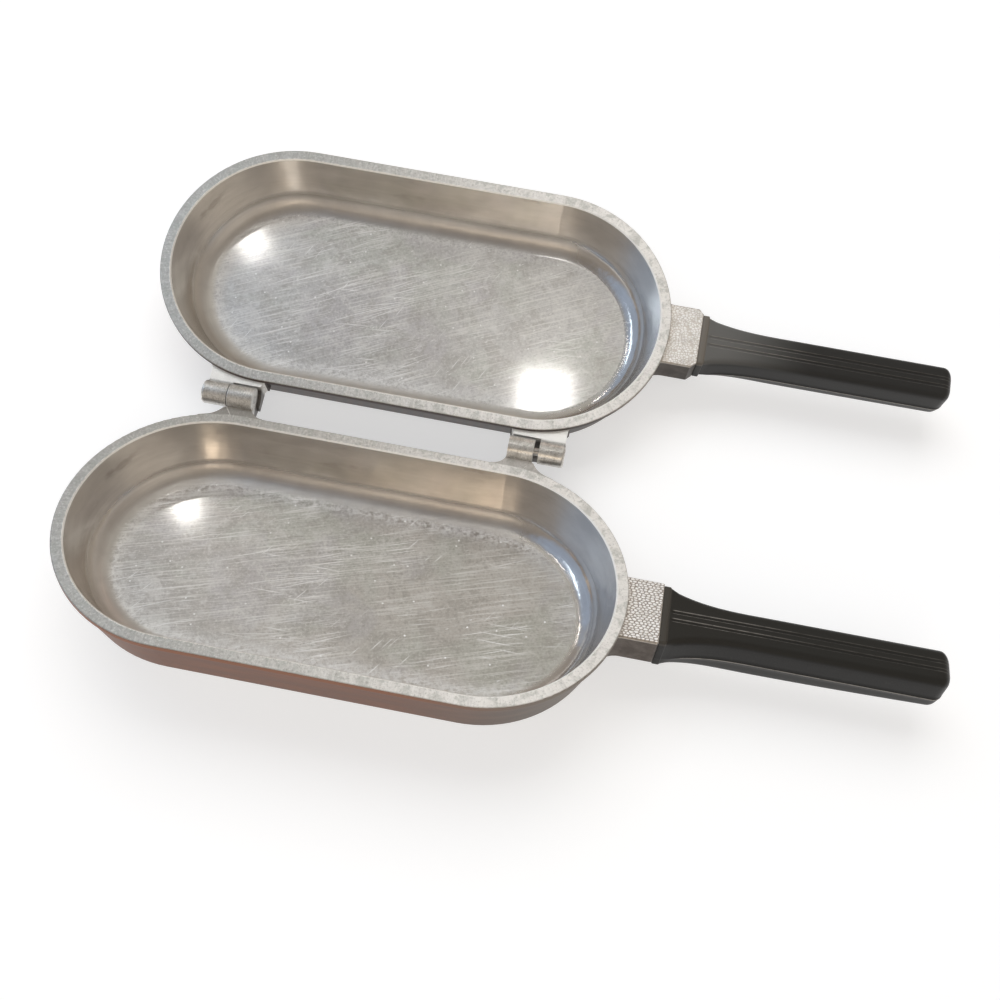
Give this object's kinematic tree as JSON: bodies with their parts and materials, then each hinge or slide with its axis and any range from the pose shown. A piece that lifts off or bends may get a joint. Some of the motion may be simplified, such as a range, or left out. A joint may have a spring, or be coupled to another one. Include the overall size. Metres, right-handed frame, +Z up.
{
  "type": "double sided flip pan",
  "caption": "Hinged double-sided flip pan: two long round-ended cast pans that fold face to face on pin hinges, each with a moulded black handle.",
  "frame": {"origin": "on the floor, under the middle of the open pan's whole length and width", "axes": "+X along the hinge axis towards the handles, +Y from the base pan to the lid pan, +Z up, standing open on the hinge stops"},
  "size_m": [0.4239, 0.289, 0.0622],
  "materials": {
    "cast_aluminium": "worn satin inside, grained casting outside",
    "phenolic": "moulded semi-gloss",
    "steel": "plain turned"
  },
  "bodies": {
    "base": {"base_pan": "cast_aluminium", "base_handle": "phenolic", "base_handle_screw": "steel", "base_handle_washer": "steel", "left_hinge_pin": "steel", "right_hinge_pin": "steel"},
    "lid": {"lid_pan": "cast_aluminium", "lid_handle": "phenolic", "lid_handle_screw": "steel", "lid_handle_washer": "steel"}
  },
  "joints": [
    {"name": "hinge", "type": "hinge", "parent": "base", "child": "lid", "pos_m": [-0.07595, 0, 0.02996], "axis": [1, 0, 0], "range_deg": [0, 159]}
  ]
}
